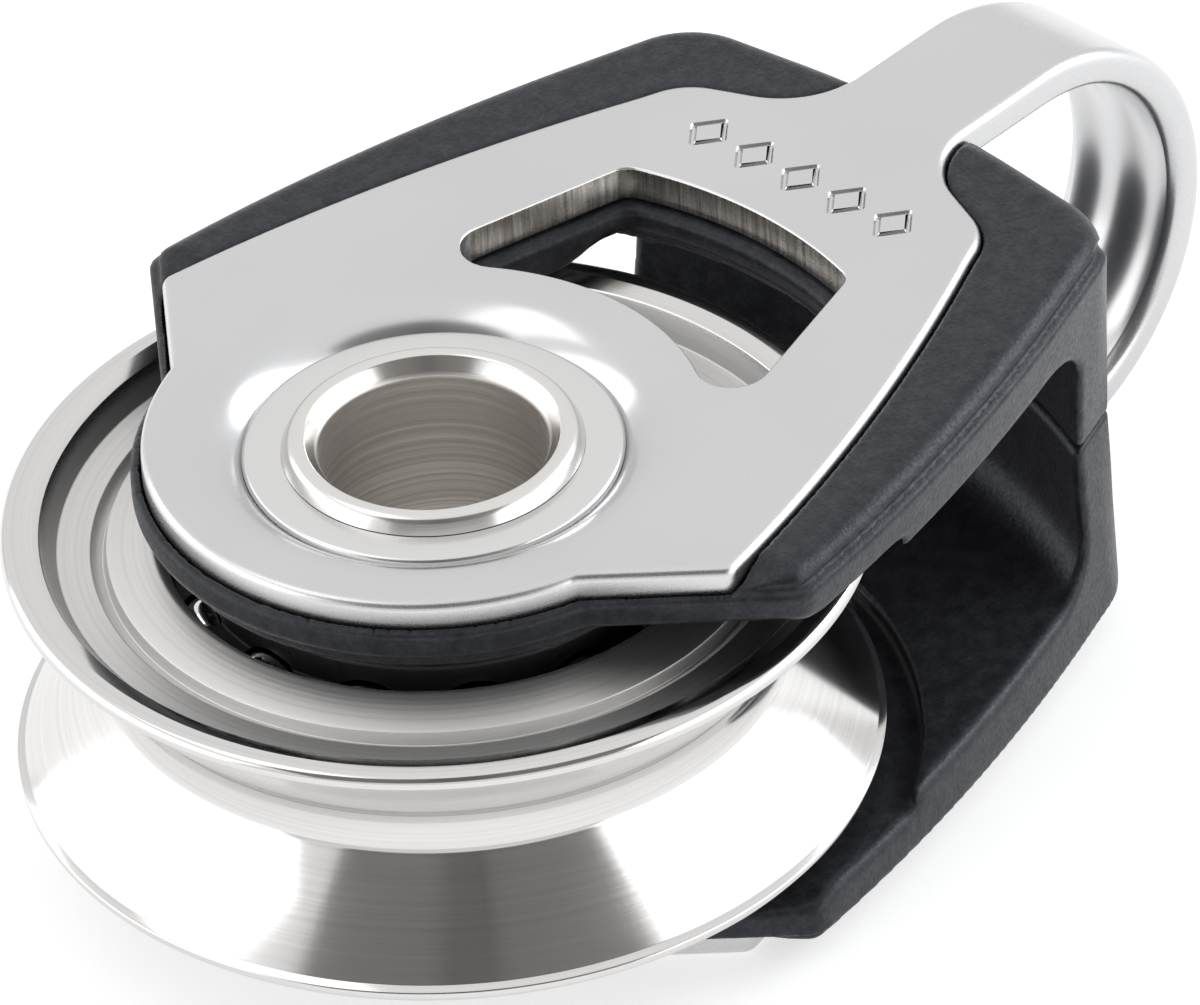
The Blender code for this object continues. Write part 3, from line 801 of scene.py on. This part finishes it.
def eye_section(share):
    """The strip's section in the eye, as (y, distance from the eye's centre).

    share is how far round the bend the section lies, from 0 at the plate to 1 at the end.
    """
    ease = min(1.0, share * EYE_EASE)
    ease = ease * ease * (3 - 2 * ease)
    section = edge_section(PLATE_TOP, PLATE_UNDERSIDE, PLATE_ROUND + (EYE_ROUND - PLATE_ROUND) * ease)
    right = [(NECK_HALF_WIDTH - inset, height) for inset, height in section]
    left = [(-y, height) for y, height in reversed(right)]
    under = line(right[-1], left[0], NECK_STEPS)
    over = line(left[-1], right[0], NECK_STEPS)
    ring = right + under + left + over
    waved = []
    for y, height in ring:
        wave = EYE_WAVE * ease * math.cos(math.tau * EYE_WAVES * y / NECK_HALF_WIDTH)
        waved.append((y, height - wave if height < PLATE_UNDERSIDE + 0.01 else height))
    return waved


def make_strap():
    """The upper plate and half the bend as one sheet, with the lower half as its mirror."""
    shape = bmesh.new()
    section = edge_section(PLATE_TOP, PLATE_UNDERSIDE, PLATE_ROUND)
    outer = edge_rows(shape, plate_outline(), section, 1, closed=False)
    hole_section = edge_section(PLATE_TOP, PLATE_UNDERSIDE, WINDOW_EDGE_ROUND, 3)
    window = edge_rows(shape, window_outline(0), hole_section, -1)

    dish = []
    for radius, height in dish_profile():
        circle = arc(radius, 0, 360, DISH_TURN_STEPS)[:-1]
        dish.append(vertices(shape, [(*point, height) for point in circle]))
    for first, second in zip(dish, dish[1:]):
        bridge(shape, first, second)

    ends = [(EYE_CENTRE_X, y, height) for y, height in eye_section(0)]
    rounds = len(section)
    under = vertices(shape, ends[rounds : rounds + NECK_STEPS - 1])
    over = vertices(shape, ends[2 * rounds + NECK_STEPS - 1 :])
    groove = [(inset, PLATE_TOP - depth) for inset, depth in GROOVE_SECTION]
    middles = [LOZENGE_PITCH * (i - (LOZENGE_COUNT - 1) / 2) for i in range(LOZENGE_COUNT)]
    lozenges = [edge_rows(shape, lozenge_outline(middle), groove, 1) for middle in middles]
    for rows in lozenges:
        cap(shape, [rows[-1]])
    cap(shape, [outer[0] + over, window[0], dish[0]] + [rows[0] for rows in lozenges])
    cap(shape, [outer[-1] + under[::-1], window[-1], dish[-1]])

    ring = [row[0] for row in outer] + under + [row[-1] for row in reversed(outer)] + over
    for i in range(1, EYE_STEPS + 1):
        share = i / EYE_STEPS
        angle = math.radians(90 * (1 - share))
        points = [
            (EYE_CENTRE_X + height * math.cos(angle), y, height * math.sin(angle))
            for y, height in eye_section(share)
        ]
        grown = vertices(shape, points)
        bridge(shape, ring, grown)
        ring = grown
    strap = finished("strap_sheet", shape, strap_finish(), "frame", ["strap"])
    mirror = strap.modifiers.new("lower half", "MIRROR")
    mirror.use_axis = (False, False, True)
    mirror.merge_threshold = MERGE_GAP * MM


# ---------------------------------------------------------------- cheeks


def distance_to(outline, x, y):
    """Signed distance of each point of a grid to a closed outline, negative inside."""
    nearest = np.full(x.shape, np.inf)
    inside = np.zeros(x.shape, bool)
    for (ax, ay), (bx, by) in zip(outline, outline[1:] + outline[:1]):
        dx, dy = bx - ax, by - ay
        along = np.clip(((x - ax) * dx + (y - ay) * dy) / max(dx * dx + dy * dy, 1e-12), 0, 1)
        nearest = np.minimum(nearest, np.hypot(x - ax - along * dx, y - ay - along * dy))
        if dy:
            crossing = (ay > y) != (by > y)
            inside ^= crossing & (x < ax + dx * (y - ay) / dy)
    return np.where(inside, -nearest, nearest)


def both(a, b, radius):
    """The distance field of what lies in both, with its outer edges rounded."""
    overlap = np.hypot(np.maximum(a + radius, 0), np.maximum(b + radius, 0))
    return np.minimum(np.maximum(a, b), -radius) + overlap


def surface(field, low, step):
    """(points, quads) of a sampled field's zero surface, with one point in each cell that it crosses."""
    cells = tuple(n - 1 for n in field.shape)
    total = np.zeros((*cells, 3))
    count = np.zeros(cells)
    crossings = []
    for axis in range(3):
        first = np.moveaxis(field, axis, 0)[:-1]
        second = np.moveaxis(field, axis, 0)[1:]
        crossed = (first < 0) != (second < 0)
        share = np.where(crossed, first / np.where(crossed, first - second, 1), 0)
        crossings.append((crossed, first < 0))
        for u in (0, 1):
            for v in (0, 1):
                window = (slice(None), slice(u, crossed.shape[1] - 1 + u), slice(v, crossed.shape[2] - 1 + v))
                hit = np.moveaxis(crossed[window], 0, axis)
                count += hit
                places = [u, v]
                places.insert(axis, np.moveaxis(share[window], 0, axis))
                for k in range(3):
                    total[..., k] += hit * places[k]
    used = count > 0
    number = np.full(cells, -1)
    number[used] = np.arange(used.sum())
    corner = np.argwhere(used)
    points = np.array(low) + (corner + total[used] / count[used][:, None]) * step
    quads = []
    for axis, (crossed, starts_inside) in enumerate(crossings):
        ids = np.moveaxis(number, axis, 0)
        hit = crossed[:, 1:-1, 1:-1]
        around = [ids[:, :-1, :-1], ids[:, 1:, :-1], ids[:, 1:, 1:], ids[:, :-1, 1:]]
        corners = np.stack([a[hit] for a in around], axis=1)
        turn = starts_inside[:, 1:-1, 1:-1][hit] ^ (axis == 1)
        corners[~turn] = corners[~turn][:, ::-1]
        quads.append(corners)
    return points, np.concatenate(quads)


def eased(share):
    """A smooth step from 0 to 1."""
    share = np.clip(share, 0, 1)
    return share * share * (3 - 2 * share)


def cheek_field(x, y, z):
    """Distance field of the upper cheek. x and y are a grid and z a row of heights."""
    radius = np.hypot(x, y)[..., None]
    along = x[..., None]
    height = z[None, None, :]
    full = distance_to(cheek_outline(0, HEAD_CORNER_RADIUS), x, y)[..., None]
    waist = distance_to(cheek_outline(CHEEK_WAIST_INSET, HEAD_WAIST_CORNER_RADIUS), x, y)[..., None]
    wall = full + (waist - full) * np.clip(1 - height / CHEEK_SHOULDER_LINE, 0, 1)

    beyond_panel = both(height - CHEEK_SHOULDER_LINE, along - CHEEK_PANEL_END_X, CHEEK_PANEL_ROUND)
    wall = wall + CHEEK_STEP * eased(beyond_panel / CHEEK_STEP_RUN + 0.5)
    wall = wall + CHEEK_COVE * np.exp(-(((beyond_panel - CHEEK_COVE_PLACE) / CHEEK_COVE_REACH) ** 2))

    rise = eased((along - CHEEK_TAIL_END_X) / CHEEK_TAIL_RISE)
    top = CHEEK_TAIL_TOP + (CHEEK_TOP - CHEEK_TAIL_TOP) * rise
    top_round = CHEEK_TAIL_ROUND + (CHEEK_TOP_ROUND - CHEEK_TAIL_ROUND) * rise
    body = both(wall, height - top, top_round)
    body = both(body, SEAM_GAP / 2 - height, SEAM_ROUND)

    head_room = both(radius - HEAD_INNER_RADIUS, height - CHEEK_FACE, HEAD_FILLET)
    deeper = eased((CHEEK_SIDE_START[0] - along) / TAIL_RECESS_RUN)
    floor = RECESS_FLOOR + (TAIL_RECESS_FLOOR - RECESS_FLOOR) * deeper
    recess = both(radius - RECESS_RADIUS, height - floor, RECESS_ROUND)
    boss = both(radius - BOSS_RADIUS, BOSS_FACE - height, BOSS_ROUND)
    window = distance_to(window_outline(CHEEK_WINDOW_INSET), x, y)[..., None]
    fade = eased((radius - COLLAR_RADIUS) / COLLAR_FADE)
    collar_face = COLLAR_FACE + (RECESS_FLOOR - COLLAR_FACE) * fade
    collar = both(window - COLLAR_WIDTH, collar_face - height, COLLAR_ROUND)
    throat = np.maximum(np.maximum(np.minimum(head_room, recess), -boss), -collar)
    body = both(body, -throat, CHEEK_EDGE_ROUND)

    plate = distance_to(plate_outline(), x, y)[..., None] - FIT_GAP
    pocket = both(plate, PLATE_UNDERSIDE - FIT_GAP - height, POCKET_ROUND)
    body = both(body, -pocket, POCKET_EDGE_ROUND)
    body = both(body, -window, CHEEK_WINDOW_ROUND)
    return both(body, CHEEK_HUB_HOLE - radius, CHEEK_HUB_ROUND)


def make_cheeks(finish):
    """The upper cheek's surface, and the same surface turned over for the lower one."""
    step = CHEEK_VOXEL
    margin = 3 * step
    low = np.array((-CHEEK_TAIL_RADIUS, -CHEEK_SHOULDER[1], 0)) - margin
    high = np.array((HEAD_X, CHEEK_SHOULDER[1], CHEEK_TOP)) + margin
    xs, ys, zs = (np.arange(*span) for span in zip(low, high, step))
    x, y = np.meshgrid(xs, ys, indexing="ij")
    points, quads = surface(cheek_field(x, y, zs), low, step)
    for side, name in ((1, "upper"), (-1, "lower")):
        mesh = bpy.data.meshes.new(name + "_cheek_shell")
        faces = quads if side > 0 else quads[:, ::-1]
        mesh.from_pydata((points * (1, 1, side) * MM).tolist(), [], faces.tolist())
        nodes = ["cheek_" + name]
        placed(name + "_cheek_shell", mesh, finish, "frame", nodes, CHEEK_SMOOTH_ANGLE)


# ---------------------------------------------------------------- sheave


def track(sign):
    """A ball track's points from the outboard edge to the inboard edge, for the bore (1) or the race (-1)."""
    radius = BALL_RADIUS + TRACK_CLEARANCE
    land = BORE_RADIUS if sign > 0 else RACE_RADIUS
    angle = math.degrees(math.acos(abs(land - BALL_PITCH_RADIUS) / radius))
    points = []
    for i in range(TRACK_STEPS + 1):
        a = math.radians(angle - 2 * angle * i / TRACK_STEPS)
        points.append((BALL_PITCH_RADIUS + sign * radius * math.cos(a), BALL_ROW + radius * math.sin(a), 0))
    return points


def mirrored(upper):
    """A profile from its upper half, carried on down by that half's mirror image."""
    return upper + [(r, -z, radius) for r, z, radius in reversed(upper)]


def sheave_finish():
    """Bright steel: the flanks and rim polished, the face inside the rim left from the lathe."""
    made = Finish("sheave_turned", SHEAVE_LIGHT, 0.14, 1.0)
    where, radius, height = made.about_axle()
    inner = made.fading(radius, LATHED_RADII)
    low, high = LATHED_HEIGHTS
    on_face = made.spread(made.maths("ABSOLUTE", height), low * MM, high * MM, 0.0, 1.0)
    lathed = made.maths("MULTIPLY", inner, on_face)
    rings = made.noise(where, LATHE_LINES, 4.0, 0.7)
    blotch = made.noise(made.place, 260, 3.0)
    tone = made.mixed(made.spread(rings, *NOISE_RANGE, 0, 1), SHEAVE_DARK, SHEAVE_LIGHT)
    made.feed(made.shader.inputs["Base Color"], tone)
    polished = made.spread(blotch, *NOISE_RANGE, 0.1, 0.17)
    made.feed(made.shader.inputs["Roughness"], made.blended(lathed, polished, LATHED_ROUGHNESS))
    depth = made.spread(lathed, 0.0, 1.0, POLISHED_BUMP_SHARE, 1.0)
    made.bump(made.maths("MULTIPLY", rings, depth), 0.25, BUMP)
    return made.material


def make_sheave():
    outside = BORE_EDGE + HUB_RING + HUB_GROOVE + FACE_FLOOR + RIM_TOP + RIM_EDGE + ROPE_FLANK + ROPE_BED
    inside = track(1)
    closed = mirrored(outside)
    closed += [(r, -z, radius) for r, z, radius in inside] + inside[::-1]
    shape = turned(rounded(closed), SHEAVE_STEPS)
    finished("sheave_wheel", shape, sheave_finish(), "sheave", ["sheave"])


# ---------------------------------------------------------------- bearing


def make_inner_race():
    upper = [
        (AXLE_HOLE, RACE_END, RACE_ROUND),
        (RACE_END_RADIUS, RACE_END, RACE_ROUND),
        (RACE_END_RADIUS, RACE_SHOULDER, RACE_ROUND),
        (RACE_RADIUS, RACE_SHOULDER, RACE_ROUND),
    ]
    upper += track(-1)
    shape = turned(rounded(mirrored(upper)), RACE_STEPS)
    finished("race_ring", shape, race_finish(), "frame", ["inner_race"])


def ball_places(side):
    """The balls' centres in the upper (1) or lower (-1) row, which is half a pitch on."""
    shift = 0.5 if side < 0 else 0
    pitch = 360 / BALL_COUNT
    return [(*polar(BALL_PITCH_RADIUS, (i + shift) * pitch), side * BALL_ROW) for i in range(BALL_COUNT)]


def make_ball_row(side, name, nylon, steel):
    """A cage with its pockets cut out, and the balls in them."""
    profile = [
        (CAGE_INNER, CAGE_FACE, CAGE_ROUND),
        (CAGE_RING_OUTER, CAGE_FACE, CAGE_RING_ROUND),
        (CAGE_RING_OUTER, CAGE_STEP_FACE, CAGE_ROUND),
        (CAGE_OUTER, CAGE_STEP_FACE, CAGE_OUTER_ROUND),
        (CAGE_OUTER, CAGE_TIP, CAGE_ROUND),
        (CAGE_INNER, CAGE_TIP, CAGE_ROUND),
    ]
    ring = bpy.data.meshes.new(name + "_cage_blank")
    shape = turned([(r, side * z) for r, z in rounded(profile, 3)], CAGE_STEPS)
    bmesh.ops.recalc_face_normals(shape, faces=shape.faces)
    shape.to_mesh(ring)
    shape.free()
    pockets = bmesh.new()
    for place in ball_places(side):
        at = Matrix.Translation(Vector(place) * MM)
        bmesh.ops.create_uvsphere(pockets, u_segments=32, v_segments=20, radius=POCKET_RADIUS * MM, matrix=at)
    pocket_mesh = bpy.data.meshes.new(name + "_pockets")
    pockets.to_mesh(pocket_mesh)
    pockets.free()
    blank = bpy.data.objects.new(name + "_cage_blank", ring)
    cutter = bpy.data.objects.new(name + "_pockets", pocket_mesh)
    for item in (blank, cutter):
        bpy.context.scene.collection.objects.link(item)
    cut = blank.modifiers.new("pockets", "BOOLEAN")
    cut.object = cutter
    bpy.context.view_layer.update()
    graph = bpy.context.evaluated_depsgraph_get()
    mesh = bpy.data.meshes.new_from_object(blank.evaluated_get(graph))
    bpy.data.objects.remove(blank, do_unlink=True)
    bpy.data.objects.remove(cutter, do_unlink=True)
    body = name + "_ball_row"
    placed(name + "_cage_ring", mesh, nylon, body, [name + "_cage"])

    for number, place in enumerate(ball_places(side), 1):
        shape = bmesh.new()
        at = Matrix.Translation(Vector(place) * MM)
        bmesh.ops.create_icosphere(shape, subdivisions=4, radius=BALL_RADIUS * MM, matrix=at)
        node = f"{name}_ball_{number:02d}"
        finished(node + "_sphere", shape, steel, body, [node])


# ---------------------------------------------------------------- axle


def make_axle():
    upper = [
        (AXLE_BORE, LIP_TOP - FLARE_DEPTH, FLARE_FOOT_ROUND),
        (FLARE_RADIUS, LIP_TOP, FLARE_TOP_ROUND),
        (LIP_SHOULDER, LIP_TOP, LIP_ROUND),
        (LIP_RADIUS, LIP_UNDERSIDE, 0),
        (AXLE_RADIUS, LIP_UNDERSIDE, 0),
    ]
    shape = turned(rounded(mirrored(upper), LIP_STEPS), AXLE_STEPS)
    finished("axle_sleeve", shape, axle_finish(), "frame", ["axle_tube"])

    washer = turned_finish("washer_turned", (0.7, 0.695, 0.69), 0.2, 0.1)
    bottom = DISH_FLOOR + WASHER_GAP
    top = bottom + WASHER_THICKNESS
    profile = [
        (AXLE_HOLE, top, WASHER_ROUND),
        (WASHER_OUTER, top, WASHER_TOP_ROUND),
        (WASHER_OUTER, bottom, WASHER_ROUND),
        (AXLE_HOLE, bottom, WASHER_ROUND),
    ]
    for side, name in ((1, "upper"), (-1, "lower")):
        shape = turned([(r, side * z) for r, z in rounded(profile, 3)], AXLE_STEPS)
        finished(name + "_hub_ring", shape, washer, "frame", ["hub_washer_" + name])


# ---------------------------------------------------------------- studio


def direction(azimuth, elevation):
    a, e = math.radians(azimuth), math.radians(elevation)
    return Vector((math.cos(e) * math.cos(a), math.cos(e) * math.sin(a), math.sin(e)))


def aim(item, target):
    item.rotation_euler = (Vector(target) - item.location).to_track_quat("-Z", "Y").to_euler()


def sheet(name, size):
    """A flat square that belongs to the studio."""
    shape = bmesh.new()
    bmesh.ops.create_grid(shape, x_segments=1, y_segments=1, size=size)
    mesh = bpy.data.meshes.new(name)
    shape.to_mesh(mesh)
    shape.free()
    made = bpy.data.objects.new(name, mesh)
    bpy.context.scene.collection.objects.link(made)
    return made


def add_world():
    """An even pale sky, slightly darker below."""
    world = bpy.data.worlds.new("studio")
    world.use_nodes = True
    tree = world.node_tree
    back = tree.nodes["Background"]
    coords = tree.nodes.new("ShaderNodeTexCoord")
    parts = tree.nodes.new("ShaderNodeSeparateXYZ")
    ramp = tree.nodes.new("ShaderNodeValToRGB")
    tree.links.new(coords.outputs["Generated"], parts.inputs[0])
    tree.links.new(parts.outputs["Z"], ramp.inputs[0])
    tree.links.new(ramp.outputs[0], back.inputs["Color"])
    stops = ramp.color_ramp.elements
    for position, _ in SKY_LEVELS[1:-1]:
        stops.new(position)
    for stop, (position, level) in zip(stops, SKY_LEVELS):
        stop.position = position
        stop.color = (level, level, level, 1)
    bpy.context.scene.world = world
    bpy.context.scene.view_settings.view_transform = "Standard"


def add_floor():
    """White paper that glows enough to stay white."""
    floor = sheet("studio_floor", FLOOR_REACH)
    floor.location = (0, 0, -FLOOR_DROP)
    paper = Finish("studio_paper", (0.5, 0.5, 0.5), 0.9, 0.0)
    paper.shader.inputs["Emission Color"].default_value = (*WHITE, 1)
    paper.shader.inputs["Emission Strength"].default_value = PAPER_GLOW
    grain = paper.noise(paper.place, 500, 2.0)
    paper.feed(paper.shader.inputs["Base Color"], paper.mixed(grain, PAPER_DARK, PAPER_LIGHT))
    floor.data.materials.append(paper.material)


def add_light(name, azimuth, elevation, distance, size, power, colour):
    """A soft box aimed at the block."""
    data = bpy.data.lights.new(name, "AREA")
    data.shape = "RECTANGLE"
    data.size, data.size_y = size
    data.energy = power
    data.color = colour
    lamp = bpy.data.objects.new(name, data)
    lamp.location = AXLE + direction(azimuth, elevation) * distance
    bpy.context.scene.collection.objects.link(lamp)
    aim(lamp, AXLE)


def add_card(name, azimuth, elevation, distance, size, colour):
    """A matt card, facing the block, that the polished steel mirrors."""
    card = sheet(name, 0.5)
    card.location = AXLE + direction(azimuth, elevation) * distance
    card.scale = (*size, 1)
    aim(card, AXLE)
    card.data.materials.append(Finish(name + "_matt", colour, 0.9, 0.0).material)


def add_camera():
    """The photograph's viewpoint, through a long lens."""
    back = direction(CAMERA_AZIMUTH, CAMERA_ELEVATION)
    right = (-back).cross(Vector((0, 0, 1))).normalized()
    up = back.cross(right)
    place = AXLE + back * CAMERA_DISTANCE + right * CAMERA_RIGHT + up * CAMERA_UP
    rolled_right = right * math.cos(CAMERA_ROLL) + up * math.sin(CAMERA_ROLL)
    rolled_up = up * math.cos(CAMERA_ROLL) - right * math.sin(CAMERA_ROLL)
    data = bpy.data.cameras.new("camera")
    data.sensor_width = SENSOR_MM
    data.lens = LENS_MM
    data.clip_start = 0.01
    camera = bpy.data.objects.new("camera", data)
    axes = Matrix((rolled_right, rolled_up, back)).transposed()
    camera.matrix_world = Matrix.Translation(place) @ axes.to_4x4()
    bpy.context.scene.collection.objects.link(camera)
    bpy.context.scene.camera = camera


def make_studio():
    add_world()
    add_floor()
    for light in LIGHTS:
        add_light(*light)
    for card in CARDS:
        add_card(*card)
    add_camera()


# ---------------------------------------------------------------- the block


make_strap()
make_cheeks(plastic_finish())
make_sheave()
make_inner_race()
NYLON = cage_finish()
BALL_STEEL = ball_finish()
make_ball_row(1, "upper", NYLON, BALL_STEEL)
make_ball_row(-1, "lower", NYLON, BALL_STEEL)
make_axle()
make_studio()
